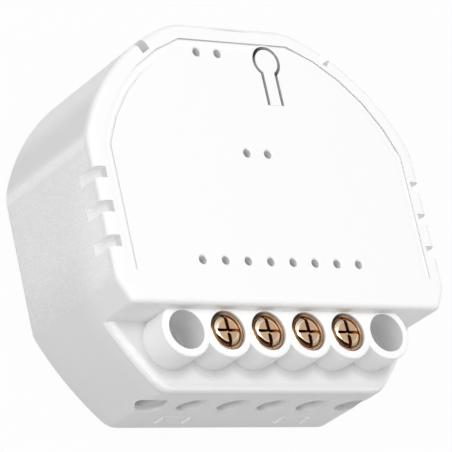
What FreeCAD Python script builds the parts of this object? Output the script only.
import FreeCAD, Part
import math
import os

V = FreeCAD.Vector

# Smart switch module for a wall box, in millimetres. It lies on its back:
# +Z points out of the face, +Y towards the arched end, the terminals are at -Y.
# The origin is the centre of the back face's box.

# Case outline
case_half_width = 20.8
case_length = 38.5
case_depth = 16.6
flat_top_half_width = 6.96
side_top_drop = 13.36
foot_corner_margin = 1.13
shoulder_height = 9.83
lower_corner_radius = 32.5
upper_edge_softening = 5.0
lower_edge_softening = 2.5
face_edge_radius = 0.65
back_edge_radius = 0.65
wall = 1.4
cavity_top_radius = 1.8

# Terminal recess
recess_height = 7.21
recess_depth = 5.0
recess_floor_slope = 3.4
recess_corner_radius = 0.8
lip_slack = 0.2
lip_radius = 1.0
terminal_pitch = 5.08
terminal_count = 6
fitted_count = 4
tube_height_above_foot = 5.05
tube_radius = 2.91
tube_hole_radius = 2.1
tube_drop = 1.5
tube_mouth_radius = 0.2
tube_bank_embed = 0.5
blind_tube_depth = 5.4
blind_tube_wall = 0.4
wire_hole_radius = 1.67
wire_hole_chamfer = 0.25

# Face details
groove_inset = 1.88
groove_rise = 0.19
groove_width = 0.93
groove_depth = 0.2
groove_end_above_foot = 10.69
groove_first_angle = 20
groove_facet_angle = 10
groove_facets = 5
face_hole_radius = 0.47
face_hole_chamfer = 0.13
vent_count = 8
vent_pitch = 2.835
vent_above_foot = 12.0
status_spacing = 2.67
centre_status_above_foot = 24.05
upper_status_below_top = 3.23
upper_status_offset = -3.61
button_offset = 3.85
button_below_top = 3.8
button_disc_radius = 1.4
button_stem_half_width = 0.7
button_slit = 0.36
button_hinge_below_top = 8.81
button_thickness = 1.1
button_web_thickness = 0.4
button_web_length = 0.5
button_pip_radius = 0.7
button_pip_rounding = 0.15
button_travel = 0.25

# Side and arch notches
side_notch_count = 3
side_notch_pitch = 3.69
side_notch_width = 1.24
side_notch_first_above_foot = 13.73
notch_reach = 1.33
notch_wall_drop = 0.95
notch_ramp_drop = 2.85
arch_notch_angle = 33.0
arch_notch_width = 1.15

# Back cover and its latches
cover_thickness = 1.6
cover_clearance = 0.12
latch_offset = 7.65
latch_window_width = 3.4
latch_window_low = 2.03
latch_window_height = 1.67
latch_arm_thickness = 1.0
latch_clearance = 0.1
tongue_offset = 4.6
tongue_width = 2.4
tongue_thickness = 0.8
tongue_reach = 0.7
tongue_root = 2.0
standoff_height = 1.0
standoff_radius = 1.2
standoff_edge = 1.3
standoff_low_above_foot = 11.65
standoff_high_above_foot = 21.85
locating_pin_radius = 0.6
locating_pin_clearance = 0.1
locating_pin_short = 0.2

# Small clearances shared by many pieces
hair_gap = 0.02
seat_gap = 0.05
hole_gap = 0.1
merge = 0.2
cut_over = 1.0

# Boards and the header that joins them
board_thickness = 1.2
board_edge_clearance = 0.5
board_foot_height = 2.9
upper_board_side_gap = 0.2
upper_board_relay_gap = 0.5
upper_board_top_gap = 0.55
upper_board_drop = 3.2
upper_board_thickness = 1.0
board_post_radius = 0.8
header_pin_pitch = 1.27
header_pin_count = 7
header_pin_side = 0.5
header_pin_end = 0.5
header_edge = 1.0
header_block_width = 1.6
header_block_height = 2.2

# Terminals
carrier_wall = 0.7
carrier_end_margin = 0.24
carrier_foot_gap = 0.25
carrier_floor = 0.5
clamp_half_width = 2.1
clamp_length = 5.4
clamp_wall = 0.5
clamp_top_wall = 1.16
clamp_top_gap = 0.2
clamp_fit = 0.1
solder_pin_side = 0.8
solder_pin_start = 1.6
solder_pin_spacing = 2.6
solder_pin_tail = 0.6
screw_head_radius = 2.0
screw_head_height = 1.75
screw_head_rounding = 0.7
screw_head_recess = 0.05
screw_shank_radius = 1.45
screw_running_clearance = 0.05
screw_tip_radius = 0.6
screw_tip_end = 0.1
screw_slot_width = 0.3
screw_slot_depth = 0.7
screw_slot_reach = 1.85
plate_thickness = 0.45
plate_half_width = 1.45
plate_length = 2.8
plate_top_gap = 0.1

# Relay
relay_length = 18.6
relay_width = 10.2
relay_foot_gap = 0.7
relay_top_gap = 0.6
relay_wall = 0.5
relay_edge_radius = 0.5
relay_base_thickness = 1.0
relay_end_room = 0.6
relay_winding_build = 1.5
relay_coil_setback = 0.8
relay_coil_lift = 0.3
relay_flange_thickness = 0.6
relay_flange_reach = 0.4
relay_yoke_thickness = 1.0
relay_armature_thickness = 0.8
relay_armature_margin = 0.2
relay_armature_gap = 0.45
relay_armature_head = 0.8
relay_hinge_gap = 0.05
relay_heel = 0.3
relay_blade_thickness = 0.25
relay_rocking_room = 1.1
relay_blade_half_width = 1.2
relay_contact_radius = 0.65
relay_contact_gap = 0.6
relay_contact_room = 0.3
relay_strip_thickness = 0.4
relay_strip_width = 2.6
relay_strip_lift = 0.2
relay_pin_length = 0.6
relay_pin_width = 1.0
relay_pin_edge = 0.7

# Transformer
transformer_side_gap = 2.8
transformer_top_gap = 1.9
transformer_lift = 0.9
transformer_width = 9.0
transformer_thickness = 4.4
transformer_window = 2.6
transformer_yoke = 1.6
bobbin_wall = 0.4
bobbin_flange = 0.5
bobbin_rim = 0.2
bobbin_foot_length = 6.0
bobbin_foot_width = 1.5
bobbin_foot_inset = 0.8
winding_build = 1.6
winding_rounding = 0.9

# Capacitors, varistor and fuse
lead_radius = 0.3
can_lift = 0.3
can_rounding = 0.3
can_neck_height = 1.6
can_neck_depth = 0.25
can_neck_radius = 0.4
can_lead_offset = 1.1
large_capacitor_radius = 3.15
large_capacitor_top_gap = 1.2
large_capacitor_side_gap = 4.05
small_capacitor_radius = 2.5
small_capacitor_height = 8.0
small_capacitor_arch_gap = 0.6
small_capacitor_inward = 0.9
film_capacitor_length = 13.0
film_capacitor_width = 4.6
film_capacitor_top_gap = 1.7
film_capacitor_rounding = 0.4
film_capacitor_lead_inset = 1.5
varistor_radius = 3.6
varistor_thickness = 3.0
varistor_rounding = 1.1
varistor_lift = 0.8
varistor_header_gap = 0.35
varistor_lead_offset = 2.0
varistor_lead_stagger = 0.6
fuse_radius = 1.3
fuse_height = 7.6
fuse_lift = 0.5
fuse_rounding = 0.5
fuse_lead_rise = 0.3
fuse_lead_gap = 0.9

# Chips and choke
chip_lift = 0.1
chip_rounding = 0.2
chip_pin_width = 0.5
chip_pin_length = 1.0
chip_pin_height = 0.35
chip_pin_reach = 0.9
rectifier_side = 4.6
rectifier_height = 2.4
rectifier_legs = 2
power_chip_side = 4.0
power_chip_height = 1.5
power_chip_legs = 4
choke_shift = 2.0
choke_radius = 2.6
choke_core_radius = 1.0
choke_height = 5.0
choke_flange = 0.7
choke_winding_drop = 0.35

# On the control board
shield_offset = 1.2
shield_tact_gap = 1.57
shield_length = 8.6
shield_width = 5.2
shield_height = 1.5
shield_wall = 0.2
shield_rounding = 0.3
aerial_thickness = 0.1
aerial_track = 0.3
aerial_step = 1.1
aerial_reach = 2.4
aerial_turns = 5
aerial_edge = 0.5
aerial_low = 4.6
lamp_length = 1.6
lamp_width = 0.8
lamp_height = 0.7
lamp_rounding = 0.12
tact_length = 4.2
tact_width = 3.36
tact_body_height = 1.1
tact_floor = 0.3
tact_corner_radius = 0.25
tact_plunger_radius = 0.9
tact_plunger_clearance = 0.05
tact_plunger_top = 1.9
tact_plunger_rounding = 0.12
tact_pip_gap = 0.08

# Places worked out from the sizes
foot_y = -case_length / 2
top_y = case_length / 2
side_top_y = top_y - side_top_drop
arch_rise = top_y ** 2 + flat_top_half_width ** 2 - side_top_y ** 2 - case_half_width ** 2
arch_y = arch_rise / (2 * side_top_drop)
arch_radius = math.hypot(case_half_width, side_top_y - arch_y)
groove_radius = arch_radius - groove_inset
recess_y = foot_y + recess_height
tube_y = foot_y + tube_height_above_foot
tube_top = case_depth - tube_drop
recess_floor = case_depth - recess_depth
recess_ceiling = recess_floor - wall - lip_slack
face_inside = case_depth - wall
side_inside = case_half_width - wall
top_inside = top_y - wall
board_bottom = cover_thickness + standoff_height
board_top = board_bottom + board_thickness
seat_z = board_top + hair_gap
upper_board_top = face_inside - upper_board_drop
upper_board_bottom = upper_board_top - upper_board_thickness
upper_seat_z = upper_board_top + hair_gap
terminal_xs = [
    (place - (terminal_count - 1) / 2) * terminal_pitch for place in range(terminal_count)
]
blank_count = (terminal_count - fitted_count) // 2
fitted_xs = terminal_xs[blank_count:terminal_count - blank_count]
blind_xs = terminal_xs[:blank_count] + terminal_xs[terminal_count - blank_count:]
foot_half_width = terminal_xs[-1] + foot_corner_margin
blind_tube_radius = tube_hole_radius + blind_tube_wall
blind_tube_low = tube_top - blind_tube_depth
button_y = top_y - button_below_top
hinge_y = top_y - button_hinge_below_top

# Terminal block and screws
carrier_low_y = foot_y + wall + carrier_foot_gap
carrier_high_y = carrier_low_y + 2 * (carrier_wall + clamp_fit) + clamp_length
clamp_low_y = carrier_low_y + carrier_wall + clamp_fit
clamp_bottom = board_top + carrier_floor
clamp_top = recess_ceiling - clamp_top_gap
clamp_window_low = clamp_bottom + clamp_wall
clamp_window_high = clamp_top - clamp_top_wall
wire_z = (clamp_window_low + clamp_window_high) / 2
plate_top = clamp_window_high - plate_top_gap

# Relay and its inner heights
foot_row_gap = (2 * side_inside - relay_length - film_capacitor_length) / 3
relay_x = -side_inside + foot_row_gap + relay_length / 2
relay_y = carrier_high_y + relay_foot_gap + relay_width / 2
relay_high_y = relay_y + relay_width / 2
relay_right_x = relay_x + relay_length / 2
relay_top = face_inside - relay_top_gap
relay_base_top = board_top + relay_base_thickness
coil_low = relay_base_top + relay_yoke_thickness + relay_coil_lift
contact_z = relay_top - relay_wall - relay_contact_room - relay_contact_radius
relay_coil_radius = (contact_z - relay_contact_radius - relay_strip_lift - coil_low) / 2
relay_core_radius = relay_coil_radius - relay_flange_reach - relay_winding_build
coil_x = relay_x - relay_length / 2 + relay_wall + relay_end_room + relay_yoke_thickness
armature_room = relay_armature_thickness + relay_blade_thickness + relay_rocking_room
blade_end_x = relay_right_x - relay_wall - armature_room - relay_hinge_gap
relay_coil_length = blade_end_x - relay_coil_setback - coil_x
coil_z = coil_low + relay_coil_radius
armature_hinge_x = coil_x + relay_coil_length + relay_coil_setback
armature_hinge_z = relay_base_top + relay_yoke_thickness / 2

# The left row on the main board: relay, then the transformer, which reaches up to the arch
bobbin_reach = seat_gap + bobbin_wall + winding_build + bobbin_rim
transformer_leg_length = transformer_width - 2 * transformer_yoke - 2 * transformer_window
transformer_x = -side_inside + transformer_side_gap + transformer_width / 2
transformer_corner_x = abs(transformer_x) + transformer_leg_length / 2 + bobbin_reach
transformer_arch_y = arch_y + math.sqrt((arch_radius - wall) ** 2 - transformer_corner_x ** 2)
transformer_y = (relay_high_y + transformer_arch_y) / 2
transformer_low = board_top + transformer_lift
transformer_height = face_inside - transformer_top_gap - transformer_low

# The right row, spread evenly: film capacitor, varistor with the fuse, large and small capacitor
large_capacitor_x = side_inside - large_capacitor_side_gap - large_capacitor_radius
large_capacitor_height = face_inside - large_capacitor_top_gap - board_top
small_capacitor_x = large_capacitor_x - small_capacitor_inward
small_capacitor_reach = arch_radius - wall - small_capacitor_arch_gap - small_capacitor_radius
small_capacitor_y = arch_y + math.sqrt(small_capacitor_reach ** 2 - small_capacitor_x ** 2)
right_row_room = small_capacitor_y - small_capacitor_radius - carrier_high_y
right_row_filled = film_capacitor_width + varistor_thickness + 2 * large_capacitor_radius
right_row_gap = (right_row_room - right_row_filled) / 4
film_capacitor_x = side_inside - foot_row_gap - film_capacitor_length / 2
film_capacitor_y = carrier_high_y + right_row_gap + film_capacitor_width / 2
header_length = header_pin_count * header_pin_pitch
varistor_x = header_length / 2 + varistor_header_gap + varistor_radius
varistor_y = film_capacitor_y + film_capacitor_width / 2 + right_row_gap + varistor_thickness / 2
fuse_bend_radius = (fuse_radius + fuse_lead_gap) / 2
fuse_row_room = side_inside - board_edge_clearance - varistor_x - varistor_radius
fuse_room_filled = fuse_radius + 2 * fuse_bend_radius + lead_radius
fuse_x = varistor_x + varistor_radius + (fuse_row_room - fuse_room_filled) / 2 + fuse_radius
fuse_y = varistor_y
large_capacitor_y = varistor_y + varistor_thickness / 2 + right_row_gap + large_capacitor_radius

# The middle row, spread evenly up to the top wall: header, chips, choke
transformer_right_x = transformer_x + transformer_width / 2
upper_board_low_y = relay_high_y + upper_board_relay_gap
upper_board_high_y = top_inside - upper_board_top_gap
upper_board_half_width = -transformer_right_x - upper_board_side_gap
header_y = upper_board_low_y + header_edge
header_high_y = header_y + header_block_width / 2
chip_half = power_chip_side / 2 + chip_pin_reach
middle_row_gap = (top_inside - header_high_y - 2 * chip_half - 2 * choke_radius) / 3
large_capacitor_left_x = large_capacitor_x - large_capacitor_radius
chip_row_room = large_capacitor_left_x - transformer_right_x
chip_gap = (chip_row_room - rectifier_side - power_chip_side) / 3
rectifier_x = large_capacitor_left_x - chip_gap - rectifier_side / 2
rectifier_y = header_high_y + middle_row_gap + chip_half
power_chip_x = transformer_right_x + chip_gap + power_chip_side / 2
power_chip_y = rectifier_y
choke_x = power_chip_x + choke_shift
choke_y = top_inside - middle_row_gap - choke_radius
shield_y = button_y - tact_width / 2 - shield_tact_gap - shield_width / 2
aerial_low_y = upper_board_low_y + aerial_low


def box(low, high):
    """Box between two corners."""
    size = [b - a for a, b in zip(low, high)]
    return Part.makeBox(size[0], size[1], size[2], V(*low))


def block(x, y, z, length, width, height):
    """Box centred on x and y, standing on z."""
    return box((x - length / 2, y - width / 2, z), (x + length / 2, y + width / 2, z + height))


def post(x, y, low, high, radius):
    """Upright cylinder."""
    return Part.makeCylinder(radius, high - low, V(x, y, low))


def bar(x, y, z, radius, length, along):
    """Cylinder along a direction."""
    return Part.makeCylinder(radius, length, V(x, y, z), along)


def mirrored(shape):
    """The shape and its twin across the middle plane."""
    return [shape, shape.mirror(V(0, 0, 0), V(1, 0, 0))]


def upright_edges(shape, test):
    """Straight edges along Z whose foot passes the test."""
    found = []
    for edge in shape.Edges:
        low, high = edge.Vertexes[0].Point, edge.Vertexes[-1].Point
        if math.hypot(low.x - high.x, low.y - high.y) < 1e-6 and test(low):
            found.append(edge)
    return found


def level_edges(shape, z):
    """Edges that lie wholly at one height."""
    return [e for e in shape.Edges if abs(e.BoundBox.ZMin - z) + abs(e.BoundBox.ZMax - z) < 1e-5]


def arc(start, end, radius):
    """Arc that bulges to the right of the way from start to end."""
    middle = (start + end) * 0.5
    chord = end - start
    height = math.sqrt(radius ** 2 - chord.Length ** 2 / 4)
    inward = V(-chord.y, chord.x, 0).normalize()
    top = middle + inward * (height - radius)
    return Part.Arc(start, top, end).toShape()


def case_outline():
    """Closed outline of the case: foot, lower corners, sides, arch and flat top."""
    right = [
        V(foot_half_width, foot_y, 0),
        V(case_half_width, foot_y + shoulder_height, 0),
        V(case_half_width, side_top_y, 0),
        V(flat_top_half_width, top_y, 0),
    ]
    left = [V(-p.x, p.y, 0) for p in right]
    raw = Part.Face(Part.Wire([
        Part.makeLine(left[0], right[0]),
        arc(right[0], right[1], lower_corner_radius),
        Part.makeLine(right[1], right[2]),
        arc(right[2], right[3], arch_radius),
        Part.makeLine(right[3], left[3]),
        arc(left[3], left[2], arch_radius),
        Part.makeLine(left[2], left[1]),
        arc(left[1], left[0], lower_corner_radius),
    ])).extrude(V(0, 0, 1))
    raw = raw.makeFillet(upper_edge_softening, upright_edges(raw, lambda p: p.y > arch_y))
    corners = upright_edges(raw, lambda p: p.y < side_notch_y(0))
    raw = raw.makeFillet(lower_edge_softening, corners)
    return [f for f in raw.Faces if f.normalAt(0, 0).z < -0.99][0].OuterWire


def side_notch_y(index):
    """Middle of a side notch along Y."""
    return foot_y + side_notch_first_above_foot + index * side_notch_pitch


outline = case_outline()


def slab(inset, low, high):
    """Plate of the case outline, drawn in by inset."""
    wire = outline.makeOffset2D(-inset) if inset else outline
    face = Part.Face(wire)
    face.translate(V(0, 0, low - face.BoundBox.ZMin))
    return face.extrude(V(0, 0, high - low))


def above(y):
    """Everything on the arched side of a plane across the case."""
    return box((-case_length, y, -case_length), (case_length, case_length, case_length))


def recess_wedge():
    """Space over the sloping floor of the terminal recess."""
    wedge = box((-case_length, -case_length, 0), (case_length, 0, case_depth))
    wedge.rotate(V(0, 0, 0), V(1, 0, 0), recess_floor_slope)
    wedge.translate(V(0, recess_y, recess_floor))
    return wedge


def outer_form():
    """Solid outside form of the shell, before it is hollowed."""
    lower = slab(0, 0, recess_floor).cut(recess_wedge())
    tilt = math.tan(math.radians(recess_floor_slope))
    lip = [e for e in lower.Edges if all(
        abs(v.Z - recess_floor - (v.Y - recess_y) * tilt) < 1e-5 and v.Y < recess_y + 0.01
        for v in e.Vertexes) and e.BoundBox.YMin < recess_y - 0.01]
    lower = lower.makeFillet(lip_radius, lip)
    lower = lower.makeFillet(back_edge_radius, level_edges(lower, 0))
    upper = slab(0, recess_floor - wall, case_depth).common(above(recess_y))
    wall_ends = upright_edges(upper, lambda p: abs(p.y - recess_y) < 1e-6)
    upper = upper.makeFillet(recess_corner_radius, wall_ends)
    upper = upper.makeFillet(face_edge_radius, level_edges(upper, case_depth))
    return lower.fuse([upper, tube_bank()]).removeSplitter()


def tube_bank():
    """Row of screwdriver tubes, filled in between them up to the recess wall."""
    low = recess_floor - wall
    bank = box((terminal_xs[0], tube_y, low), (terminal_xs[-1], recess_y + tube_bank_embed, tube_top))
    bank = bank.fuse([post(x, tube_y, low, tube_top, tube_radius) for x in terminal_xs])
    bank = bank.removeSplitter()
    rim = [e for e in level_edges(bank, tube_top) if e.BoundBox.YMin < recess_y]
    return bank.makeFillet(tube_mouth_radius, rim)


def cavity():
    """Space inside the shell, open at the back."""
    deep = slab(wall, -1, face_inside).common(above(recess_y + wall))
    deep = deep.makeFillet(cavity_top_radius, level_edges(deep, face_inside))
    return deep.fuse(slab(wall, -1, recess_ceiling))


def hole_cutter(x, y, radius, chamfer, low):
    """Hole through the face with a small chamfer at its mouth."""
    mouth = Part.makeCone(radius, radius + chamfer, chamfer, V(x, y, case_depth - chamfer))
    return post(x, y, low, case_depth, radius).fuse(mouth)


def wire_hole_cutter(x):
    """Wire entry along Y, chamfered at the foot wall."""
    start = -case_length
    long_hole = bar(x, start, wire_z, wire_hole_radius, foot_y + wall + merge - start, V(0, 1, 0))
    mouth = Part.makeCone(wire_hole_radius + wire_hole_chamfer, wire_hole_radius, wire_hole_chamfer,
                          V(x, foot_y, wire_z), V(0, 1, 0))
    return long_hole.fuse(mouth)


def notch_cutter(width):
    """Wedge out of the corner between face and side: an upright wall, then a ramp."""
    inner = case_half_width - notch_reach
    outer = case_half_width + cut_over
    slope = notch_reach / (notch_ramp_drop - notch_wall_drop)
    points = [
        V(inner, 0, case_depth + cut_over),
        V(inner, 0, case_depth - notch_wall_drop),
        V(outer, 0, case_depth - notch_ramp_drop - cut_over / slope),
        V(outer, 0, case_depth + cut_over),
    ]
    profile = Part.Face(Part.makePolygon(points + points[:1]))
    profile.translate(V(0, -width / 2, 0))
    return profile.extrude(V(0, width, 0))


def side_notch_cutter(index):
    """One of the notches along a side."""
    cutter = notch_cutter(side_notch_width)
    cutter.translate(V(0, side_notch_y(index), 0))
    return cutter


def arch_notch_cutter():
    """The same wedge, turned to stand across the arch."""
    cutter = notch_cutter(arch_notch_width)
    cutter.translate(V(arch_radius - case_half_width, 0, 0))
    cutter.rotate(V(0, 0, 0), V(0, 0, 1), 90 - arch_notch_angle)
    cutter.translate(V(0, arch_y, 0))
    return cutter


def facet_face(radius):
    """Panel bounded by the faceted groove line of one radius."""
    centre_y = arch_y + groove_rise
    turns = [math.radians(groove_first_angle + k * groove_facet_angle) for k in range(groove_facets + 1)]
    right = [V(radius * math.sin(turn), centre_y + radius * math.cos(turn), 0) for turn in turns]
    right.append(V(right[-1].x, foot_y + groove_end_above_foot, 0))
    ring = [V(-p.x, p.y, 0) for p in right] + right[::-1]
    return Part.Face(Part.makePolygon(ring + ring[:1]))


def groove_cutter():
    """Shallow channel round the face, open at its two lower ends."""
    outer = facet_face(groove_radius).extrude(V(0, 0, groove_depth + cut_over))
    inner = facet_face(groove_radius - groove_width).extrude(V(0, 0, groove_depth + cut_over))
    channel = outer.cut(inner)
    channel.translate(V(0, 0, case_depth - groove_depth))
    return channel


def button_form(margin, low, high):
    """Key-hole shape of the button tab, grown by a margin."""
    disc = post(button_offset, button_y, low, high, button_disc_radius + margin)
    half = button_stem_half_width + margin
    stem = box((button_offset - half, hinge_y, low), (button_offset + half, button_y, high))
    return disc.fuse(stem).removeSplitter()


def front_shell():
    """Deep front shell: face, sides, terminal recess, tubes and foot wall."""
    shell = outer_form().cut(cavity())
    additions = [post(x, tube_y, blind_tube_low - wall, recess_floor, blind_tube_radius)
                 for x in blind_xs]
    additions += [post(x, y, upper_board_top + seat_gap, face_inside + merge, board_post_radius)
                  for x, y in board_post_places()]
    shell = shell.fuse(additions).removeSplitter()
    cutters = [post(x, tube_y, recess_ceiling - cut_over, case_depth, tube_hole_radius)
               for x in fitted_xs]
    cutters += [post(x, tube_y, blind_tube_low, case_depth, tube_hole_radius) for x in blind_xs]
    cutters += [wire_hole_cutter(x) for x in terminal_xs]
    cutters += mirrored(latch_window())
    cutters += mirrored(tongue_slot())
    cutters.append(groove_cutter())
    cutters.append(button_form(button_slit, face_inside - cut_over, case_depth + cut_over))
    for x, y in status_places() + vent_places():
        cutters.append(hole_cutter(x, y, face_hole_radius, face_hole_chamfer, face_inside - cut_over))
    for index in range(side_notch_count):
        cutters += mirrored(side_notch_cutter(index))
    cutters += mirrored(arch_notch_cutter())
    return shell.cut(cutters)


def board_post_places():
    """Where posts of the shell hold the control board down."""
    side = upper_board_half_width - board_post_radius - hole_gap
    low_y = header_y + header_pin_pitch / 2
    high_y = button_y - tact_width / 2 - board_post_radius
    return [(-side, low_y), (side, low_y), (-side, high_y), (side, high_y)]


def vent_places():
    """Row of small vents over the terminals."""
    first = -(vent_count - 1) / 2 * vent_pitch
    return [(first + k * vent_pitch, foot_y + vent_above_foot) for k in range(vent_count)]


def status_places():
    """Two pairs of status lamp holes."""
    centres = [(0, foot_y + centre_status_above_foot),
               (upper_status_offset, top_y - upper_status_below_top)]
    half = status_spacing / 2
    return [(x + side * half, y) for x, y in centres for side in (-1, 1)]


def latch_window():
    """Window in the foot wall that a latch of the back cover snaps into."""
    half = latch_window_width / 2
    return box((latch_offset - half, foot_y - cut_over, latch_window_low),
               (latch_offset + half, foot_y + wall + merge, latch_window_low + latch_window_height))


def tongue_slot():
    """Blind slot inside the top wall for a tongue of the back cover."""
    half = tongue_width / 2 + latch_clearance
    low = cover_thickness - tongue_thickness - latch_clearance
    deep = top_inside + tongue_reach + latch_clearance
    return box((tongue_offset - half, top_inside - merge, low),
               (tongue_offset + half, deep, cover_thickness + latch_clearance))


def back_cover():
    """Flat back cover with two latches, two tongues and four board standoffs."""
    inset = wall + cover_clearance
    cover = slab(inset, 0, cover_thickness)
    inside = foot_y + inset
    half = latch_window_width / 2 - latch_clearance
    arm_top = latch_window_low + latch_window_height - latch_clearance
    arm = box((latch_offset - half, inside, 0),
              (latch_offset + half, inside + latch_arm_thickness, arm_top))
    hook = box((latch_offset - half, foot_y, latch_window_low + latch_clearance),
               (latch_offset + half, inside + latch_arm_thickness, arm_top))
    tongue = box((tongue_offset - tongue_width / 2, top_inside - tongue_root,
                  cover_thickness - tongue_thickness),
                 (tongue_offset + tongue_width / 2, top_inside + tongue_reach, cover_thickness))
    extras = mirrored(arm) + mirrored(hook) + mirrored(tongue)
    for x, y in standoff_places():
        extras.append(post(x, y, cover_thickness - merge, board_bottom, standoff_radius))
        extras.append(post(x, y, cover_thickness - merge, board_top - locating_pin_short,
                           locating_pin_radius))
    return cover.fuse(extras).removeSplitter()


def standoff_places():
    """Corners at which the main board stands on the back cover."""
    side = side_inside - board_edge_clearance - standoff_edge
    ys = (foot_y + standoff_low_above_foot, foot_y + standoff_high_above_foot)
    return [(x, y) for x in (-side, side) for y in ys]


def main_board():
    """Main circuit board."""
    board = slab(wall + board_edge_clearance, board_bottom, board_top)
    board = board.common(above(foot_y + board_foot_height))
    holes = [post(x, y, 0, case_depth, locating_pin_radius + locating_pin_clearance)
             for x, y in standoff_places()]
    holes += [pin for x in fitted_xs for pin in clamp_pins(x, hole_gap)]
    return board.cut(holes)


def upper_board():
    """Small control board under the face."""
    board = box((-upper_board_half_width, upper_board_low_y, upper_board_bottom),
                (upper_board_half_width, upper_board_high_y, upper_board_top))
    return board.cut(header_pins(hole_gap))


def header_pins(margin=0.0):
    """Square pins that join the two boards."""
    side = header_pin_side + 2 * margin
    first = -(header_pin_count - 1) / 2 * header_pin_pitch
    height = upper_board_top + header_pin_end - seat_z
    return [block(first + index * header_pin_pitch, header_y, seat_z, side, side, height)
            for index in range(header_pin_count)]


def header_block():
    """Plastic strip that holds the header pins."""
    strip = block(0, header_y, seat_z, header_length, header_block_width, header_block_height)
    return strip.cut(header_pins())


def terminal_carrier():
    """Moulded block that holds the clamps against the foot wall."""
    half = fitted_count * terminal_pitch / 2 + carrier_end_margin
    top = recess_ceiling - seat_gap
    carrier = box((-half, carrier_low_y, board_top), (half, carrier_high_y, top))
    room = clamp_half_width + clamp_fit
    cuts = []
    for x in fitted_xs:
        cuts.append(box((x - room, carrier_low_y + carrier_wall, clamp_bottom - clamp_fit),
                        (x + room, carrier_high_y - carrier_wall, top + cut_over)))
        cuts.append(bar(x, carrier_low_y - cut_over, wire_z, wire_hole_radius,
                        carrier_wall + cut_over + merge, V(0, 1, 0)))
        cuts += clamp_pins(x, seat_gap)
    cuts += [post(x, tube_y, board_top, top + cut_over, blind_tube_radius + hole_gap) for x in blind_xs]
    return carrier.cut(cuts)


def clamp_pins(x, margin=0.0):
    """Two solder pins under a clamp."""
    side = solder_pin_side + 2 * margin
    low = board_bottom - solder_pin_tail
    starts = (clamp_low_y + solder_pin_start, clamp_low_y + solder_pin_start + solder_pin_spacing)
    return [block(x, y, low, side, side, clamp_bottom + hole_gap - low) for y in starts]


def terminal_clamp(x):
    """Square clamp tube with a screw hole in its thick top and two solder pins."""
    end = clamp_low_y + clamp_length
    tube = box((x - clamp_half_width, clamp_low_y, clamp_bottom),
               (x + clamp_half_width, end, clamp_top))
    inner = clamp_half_width - clamp_wall
    window = box((x - inner, clamp_low_y - cut_over, clamp_window_low),
                 (x + inner, end + cut_over, clamp_window_high))
    screw_hole = post(x, tube_y, clamp_window_low, clamp_top + cut_over,
                      screw_shank_radius + screw_running_clearance)
    return tube.cut([window, screw_hole]).fuse(clamp_pins(x)).removeSplitter()


def pressure_plate(x):
    """Small plate under the screw tip that presses the wire."""
    low = plate_top - plate_thickness
    plate = block(x, tube_y, low, 2 * plate_half_width, plate_length, plate_thickness)
    return plate.cut(post(x, tube_y, low, plate_top, screw_tip_radius + screw_running_clearance))


def terminal_screw(x):
    """Terminal screw: rounded cross-slotted head, shank and a tip that carries the plate."""
    top = tube_top - screw_head_recess
    neck = top - screw_head_height
    head = post(x, tube_y, neck, top, screw_head_radius)
    head = head.makeFillet(screw_head_rounding, level_edges(head, top))
    slot_low = top - screw_slot_depth
    slots = [
        block(x, tube_y, slot_low, 2 * screw_slot_reach, screw_slot_width, screw_slot_depth),
        block(x, tube_y, slot_low, screw_slot_width, 2 * screw_slot_reach, screw_slot_depth),
    ]
    shoulder = plate_top + seat_gap
    shank = post(x, tube_y, shoulder, neck, screw_shank_radius)
    tip = post(x, tube_y, plate_top - plate_thickness - screw_tip_end, shoulder, screw_tip_radius)
    return head.cut(slots).fuse([shank, tip]).removeSplitter()


def relay_box(inset, low, high):
    """Box round the relay's centre, drawn in by inset."""
    return block(relay_x, relay_y, low, relay_length - 2 * inset, relay_width - 2 * inset, high - low)


def relay_cover():
    """Sealed plastic cover of the relay, open underneath."""
    cover = relay_box(0, seat_z, relay_top)
    rounded = [e for e in cover.Edges if e.BoundBox.ZMax > relay_base_top]
    cover = cover.makeFillet(relay_edge_radius, rounded)
    return cover.cut(relay_box(relay_wall, board_top, relay_top - relay_wall))


def relay_base():
    """Base plate of the relay, standing on its pins."""
    inset = relay_wall + seat_gap
    base = relay_box(inset, board_top + hole_gap, relay_base_top)
    reach_x = relay_length / 2 - inset - relay_pin_edge
    reach_y = relay_width / 2 - inset - relay_pin_edge
    pins = [block(relay_x + side_x * reach_x, relay_y + side_y * reach_y, seat_z,
                  relay_pin_length, relay_pin_width, relay_base_thickness / 2)
            for side_x in (-1, 1) for side_y in (-1, 1)]
    return base.fuse(pins).removeSplitter()


def relay_coil():
    """Coil on its flanged bobbin."""
    along = V(1, 0, 0)
    start = coil_x + hair_gap
    length = relay_coil_length - hair_gap
    winding = bar(start, relay_y, coil_z, relay_coil_radius - relay_flange_reach, length, along)
    flanges = [bar(x, relay_y, coil_z, relay_coil_radius, relay_flange_thickness, along)
               for x in (start, start + length - relay_flange_thickness)]
    bore = bar(coil_x, relay_y, coil_z, relay_core_radius + seat_gap, relay_coil_length + cut_over,
               along)
    return winding.fuse(flanges).cut(bore).removeSplitter()


def relay_yoke():
    """Bent iron yoke with the coil core."""
    half = relay_coil_radius
    back_x = coil_x - relay_yoke_thickness
    low = relay_base_top
    back = box((back_x, relay_y - half, low), (coil_x, relay_y + half, coil_z + relay_core_radius))
    foot = box((back_x, relay_y - half, low),
               (armature_hinge_x, relay_y + half, low + relay_yoke_thickness))
    core_end = armature_hinge_x + relay_hinge_gap - relay_armature_gap
    core = bar(back_x, relay_y, coil_z, relay_core_radius, core_end - back_x, V(1, 0, 0))
    return back.fuse([foot, core]).removeSplitter()


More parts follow.
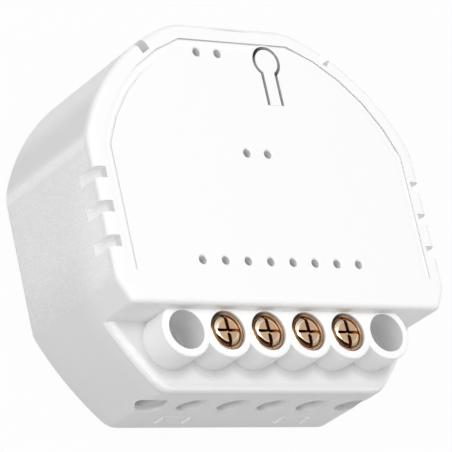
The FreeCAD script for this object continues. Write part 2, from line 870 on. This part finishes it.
def relay_armature():
    """Rocking iron armature with its contact blade and moving contact."""
    half = relay_coil_radius - relay_armature_margin
    low_x = armature_hinge_x + relay_hinge_gap
    far_x = low_x + relay_armature_thickness
    top = coil_z + relay_core_radius + relay_armature_head
    plate = box((low_x, relay_y - half, armature_hinge_z - relay_heel), (far_x, relay_y + half, top))
    blade = box((far_x, relay_y - relay_blade_half_width, armature_hinge_z + relay_yoke_thickness),
                (far_x + relay_blade_thickness, relay_y + relay_blade_half_width,
                 contact_z + relay_contact_radius))
    contact = bar(low_x, relay_y, contact_z, relay_contact_radius, far_x - low_x, V(1, 0, 0))
    return plate.fuse([blade, contact]).removeSplitter()


def relay_contact():
    """Fixed contact on a strip that runs over the coil and down behind the yoke."""
    half = relay_strip_width / 2
    face_x = armature_hinge_x + relay_hinge_gap - relay_contact_gap
    disc_x = face_x - relay_strip_thickness
    back_x = coil_x - relay_yoke_thickness - hole_gap - relay_strip_thickness
    top = contact_z + relay_strip_thickness / 2
    over = box((back_x, relay_y - half, top - relay_strip_thickness), (disc_x, relay_y + half, top))
    down = box((back_x, relay_y - half, relay_base_top),
               (back_x + relay_strip_thickness, relay_y + half, top))
    contact = bar(disc_x, relay_y, contact_z, relay_contact_radius, relay_strip_thickness, V(1, 0, 0))
    return over.fuse([down, contact]).removeSplitter()


def transformer_core():
    """Double-window ferrite core."""
    core = block(transformer_x, transformer_y, transformer_low, transformer_width, transformer_thickness,
                 transformer_height)
    offset = (transformer_leg_length + transformer_window) / 2
    windows = [block(transformer_x + side * offset, transformer_y, transformer_low + transformer_yoke,
                     transformer_window, transformer_thickness + cut_over,
                     transformer_height - 2 * transformer_yoke) for side in (-1, 1)]
    return core.cut(windows)


def leg_block(margin, inset):
    """Block round the centre leg, grown sideways by margin and shortened at each end by inset."""
    low = transformer_low + transformer_yoke + inset
    height = transformer_height - 2 * transformer_yoke - 2 * inset
    return block(transformer_x, transformer_y, low, transformer_leg_length + 2 * margin,
                 transformer_thickness + 2 * margin, height)


def transformer_bobbin():
    """Bobbin round the centre leg, with feet on the board."""
    tube = leg_block(seat_gap + bobbin_wall, seat_gap)
    between = leg_block(bobbin_reach + cut_over, seat_gap + bobbin_flange)
    flanges = leg_block(bobbin_reach, seat_gap).cut(between)
    flange_low = transformer_low + transformer_yoke + seat_gap
    foot_offset = transformer_thickness / 2 + bobbin_reach - bobbin_foot_inset
    feet = [block(transformer_x, transformer_y + side * foot_offset, seat_z, bobbin_foot_length,
                  bobbin_foot_width, flange_low + merge - seat_z) for side in (-1, 1)]
    body = tube.fuse([flanges] + feet).removeSplitter()
    return body.cut(leg_block(seat_gap, 0))


def transformer_winding():
    """Wound copper between the bobbin flanges."""
    inner = seat_gap + bobbin_wall + hair_gap
    inset = seat_gap + bobbin_flange + hair_gap
    outer = leg_block(inner + winding_build, inset)
    outer = outer.makeFillet(winding_rounding, upright_edges(outer, lambda p: True))
    return outer.cut(leg_block(inner, 0))


def round_edges(shape):
    """Circular edges of a shape."""
    return [e for e in shape.Edges if e.Curve.TypeId == "Part::GeomCircle"]


def capacitor(x, y, radius, height):
    """Round capacitor can with rolled edges, a grooved neck and two leads."""
    can = post(x, y, board_top + can_lift, board_top + height, radius)
    can = can.makeFillet(can_rounding, round_edges(can))
    neck = Part.makeTorus(radius + can_neck_radius - can_neck_depth, can_neck_radius,
                          V(x, y, board_top + can_neck_height))
    leads = [post(x + side * can_lead_offset, y, seat_z, board_top + can_lift + merge, lead_radius)
             for side in (-1, 1)]
    return can.cut(neck).fuse(leads).removeSplitter()


def bulk_capacitors():
    """The two round smoothing capacitors."""
    return Part.makeCompound([
        capacitor(large_capacitor_x, large_capacitor_y, large_capacitor_radius, large_capacitor_height),
        capacitor(small_capacitor_x, small_capacitor_y, small_capacitor_radius, small_capacitor_height),
    ])


def film_capacitor():
    """Boxed interference capacitor."""
    low = board_top + can_lift
    body = block(film_capacitor_x, film_capacitor_y, low, film_capacitor_length, film_capacitor_width,
                 face_inside - film_capacitor_top_gap - low)
    body = body.makeFillet(film_capacitor_rounding, body.Edges)
    offset = film_capacitor_length / 2 - film_capacitor_lead_inset
    leads = [post(film_capacitor_x + side * offset, film_capacitor_y, seat_z, low + merge, lead_radius)
             for side in (-1, 1)]
    return body.fuse(leads).removeSplitter()


def varistor():
    """Dipped disc varistor standing on two leads."""
    z = board_top + varistor_lift + varistor_radius
    disc = bar(varistor_x, varistor_y - varistor_thickness / 2, z, varistor_radius, varistor_thickness,
               V(0, 1, 0))
    disc = disc.makeFillet(varistor_rounding, round_edges(disc))
    leads = [post(varistor_x + side * varistor_lead_offset, varistor_y + side * varistor_lead_stagger,
                  seat_z, z, lead_radius) for side in (-1, 1)]
    return disc.fuse(leads).removeSplitter()


def fuse_resistor():
    """Upright fusible resistor with its lead bent back down beside it."""
    low = board_top + fuse_lift
    body = post(fuse_x, fuse_y, low, low + fuse_height, fuse_radius)
    body = body.makeFillet(fuse_rounding, round_edges(body))
    turn = low + fuse_height + fuse_lead_rise
    section = Part.Face(Part.Wire(Part.makeCircle(lead_radius, V(fuse_x, fuse_y, turn))))
    arch = section.revolve(V(fuse_x + fuse_bend_radius, fuse_y, turn), V(0, 1, 0), 180)
    posts = [post(x, fuse_y, seat_z, turn, lead_radius) for x in (fuse_x, fuse_x + 2 * fuse_bend_radius)]
    return body.fuse(posts + [arch]).removeSplitter()


def leaded_chip(x, y, side, height, legs):
    """Flat package with legs along two sides."""
    body = block(x, y, board_top + chip_lift, side, side, height)
    body = body.makeFillet(chip_rounding, upright_edges(body, lambda p: True))
    step = side / legs
    pin_offset = side / 2 + chip_pin_reach - chip_pin_length / 2
    pins = [block(x + (index - (legs - 1) / 2) * step, y + direction * pin_offset, seat_z,
                  chip_pin_width, chip_pin_length, chip_pin_height)
            for index in range(legs) for direction in (-1, 1)]
    return body.fuse(pins).removeSplitter()


def choke_core():
    """Drum core of the smoothing choke."""
    high = seat_z + choke_height
    flanges = [post(choke_x, choke_y, z, z + choke_flange, choke_radius)
               for z in (seat_z, high - choke_flange)]
    return post(choke_x, choke_y, seat_z, high, choke_core_radius).fuse(flanges).removeSplitter()


def choke_winding():
    """Winding between the flanges of the choke."""
    low = seat_z + choke_flange + hair_gap
    high = seat_z + choke_height - choke_flange - hair_gap
    outer = post(choke_x, choke_y, low, high, choke_radius - choke_winding_drop)
    return outer.cut(post(choke_x, choke_y, low, high, choke_core_radius + hair_gap))


def radio_shield():
    """Pressed can over the radio chip."""
    low = upper_seat_z
    can = block(shield_offset, shield_y, low, shield_length, shield_width, shield_height)
    can = can.makeFillet(shield_rounding, [e for e in can.Edges if e.BoundBox.ZMax > low + shield_wall])
    inside = block(shield_offset, shield_y, low, shield_length - 2 * shield_wall,
                   shield_width - 2 * shield_wall, shield_height - shield_wall)
    return can.cut(inside)


def aerial():
    """Meandering copper track along the control board's edge."""
    low = upper_board_top
    high = low + aerial_thickness
    left = -upper_board_half_width + aerial_edge
    right = left + aerial_reach
    half = aerial_track / 2
    runs = []
    for turn in range(2 * aerial_turns + 1):
        y = aerial_low_y + turn * aerial_step / 2
        runs.append(box((left - half, y - half, low), (right + half, y + half, high)))
        if turn:
            end_x = right if turn % 2 else left
            runs.append(box((end_x - half, y - aerial_step / 2, low), (end_x + half, y, high)))
    return runs[0].fuse(runs[1:]).removeSplitter()


def status_lamps():
    """Four small lamps under the status holes."""
    lamps = []
    for x, y in status_places():
        lamp = block(x, y, upper_seat_z, lamp_width, lamp_length, lamp_height)
        lamps.append(lamp.makeFillet(lamp_rounding, level_edges(lamp, upper_seat_z + lamp_height)))
    return Part.makeCompound(lamps)


def tact_switch_body():
    """Housing of the tact switch under the button tab."""
    body = block(button_offset, button_y, upper_seat_z, tact_length, tact_width, tact_body_height)
    body = body.makeFillet(tact_corner_radius, upright_edges(body, lambda p: True))
    bore = post(button_offset, button_y, upper_seat_z + tact_floor, upper_seat_z + tact_body_height,
                tact_plunger_radius + tact_plunger_clearance)
    return body.cut(bore)


def tact_plunger():
    """Plunger of the tact switch."""
    low = upper_seat_z + tact_floor + button_travel + hole_gap
    top = upper_board_top + tact_plunger_top
    plunger = post(button_offset, button_y, low, top, tact_plunger_radius)
    return plunger.makeFillet(tact_plunger_rounding, level_edges(plunger, top))


def button_tab():
    """Button tab on its thin flexing web, with a pip over the tact switch."""
    tab = button_form(0, case_depth - button_thickness, case_depth)
    gap = box((-case_length, hinge_y - cut_over, 0),
              (case_length, hinge_y + hair_gap, case_depth + cut_over))
    thin = box((-case_length, hinge_y - cut_over, 0),
               (case_length, hinge_y + button_web_length, case_depth - button_web_thickness))
    pip_low = upper_board_top + tact_plunger_top + tact_pip_gap
    pip = post(button_offset, button_y, pip_low, case_depth - merge, button_pip_radius)
    pip = pip.makeFillet(button_pip_rounding, level_edges(pip, pip_low))
    return tab.cut([gap, thin]).fuse(pip).removeSplitter()


def export(name, shape):
    """Write one named piece."""
    solids = shape.Solids
    print(name, len(solids), "solids", round(shape.Volume, 2), "mm3", shape.isValid())
    kept = solids[0] if len(solids) == 1 else Part.makeCompound(solids)
    kept.exportStep("parts/" + name + ".step")


os.makedirs("parts", exist_ok=True)
export("front_shell", front_shell())
export("back_cover", back_cover())
export("button_tab", button_tab())
export("main_board", main_board())
export("control_board", upper_board())
export("header_block", header_block())
export("header_pins", Part.makeCompound(header_pins()))
export("terminal_carrier", terminal_carrier())
for number, place in enumerate(fitted_xs, 1):
    export("terminal_clamp_%d" % number, terminal_clamp(place))
    export("pressure_plate_%d" % number, pressure_plate(place))
    export("terminal_screw_%d" % number, terminal_screw(place))
export("relay_cover", relay_cover())
export("relay_base", relay_base())
export("relay_coil", relay_coil())
export("relay_yoke", relay_yoke())
export("relay_armature", relay_armature())
export("relay_contact", relay_contact())
export("transformer_core", transformer_core())
export("transformer_bobbin", transformer_bobbin())
export("transformer_winding", transformer_winding())
export("bulk_capacitors", bulk_capacitors())
export("film_capacitor", film_capacitor())
export("varistor", varistor())
export("fuse_resistor", fuse_resistor())
export("bridge_rectifier",
       leaded_chip(rectifier_x, rectifier_y, rectifier_side, rectifier_height, rectifier_legs))
export("power_chip",
       leaded_chip(power_chip_x, power_chip_y, power_chip_side, power_chip_height, power_chip_legs))
export("choke_core", choke_core())
export("choke_winding", choke_winding())
export("radio_shield", radio_shield())
export("aerial_track", aerial())
export("status_lamps", status_lamps())
export("tact_switch_body", tact_switch_body())
export("tact_plunger", tact_plunger())
